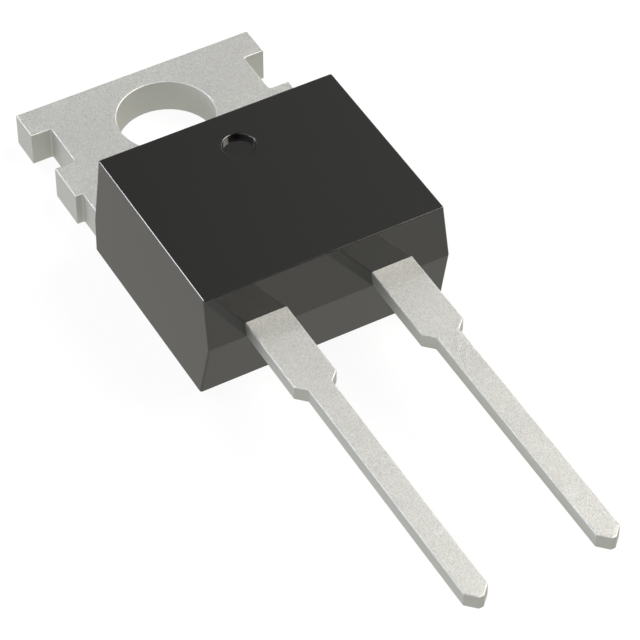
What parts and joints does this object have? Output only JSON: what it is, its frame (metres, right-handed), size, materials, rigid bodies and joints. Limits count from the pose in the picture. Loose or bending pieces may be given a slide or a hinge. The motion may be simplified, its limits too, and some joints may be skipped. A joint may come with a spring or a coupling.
{
  "type": "silicon carbide diode",
  "caption": "Power diode in a flat-backed through-hole package: black epoxy block between a drilled metal tab and straight stepped leads.",
  "frame": {"origin": "centre of the mounting hole, on the tab's back face", "axes": "+Z out of the face that carries the ejector mark, -Y along the leads towards their tips, +X to the anode lead's side"},
  "size_m": [0.01, 0.0299, 0.0047],
  "materials": {
    "tin_plate": "matte tin plate over copper, fine grain",
    "epoxy": "transfer-moulded black epoxy, satin",
    "silicon_carbide": "polished wafer, sawn edges",
    "solder": "dull solder",
    "bond_wire": "drawn wire"
  },
  "bodies": {
    "root": {"tab_with_cathode_lead": "tin_plate", "anode_lead": "tin_plate", "moulded_body": "epoxy", "silicon_carbide_chip": "silicon_carbide", "chip_solder": "solder", "bond_wire_1": "bond_wire", "bond_wire_2": "bond_wire"}
  },
  "joints": []
}
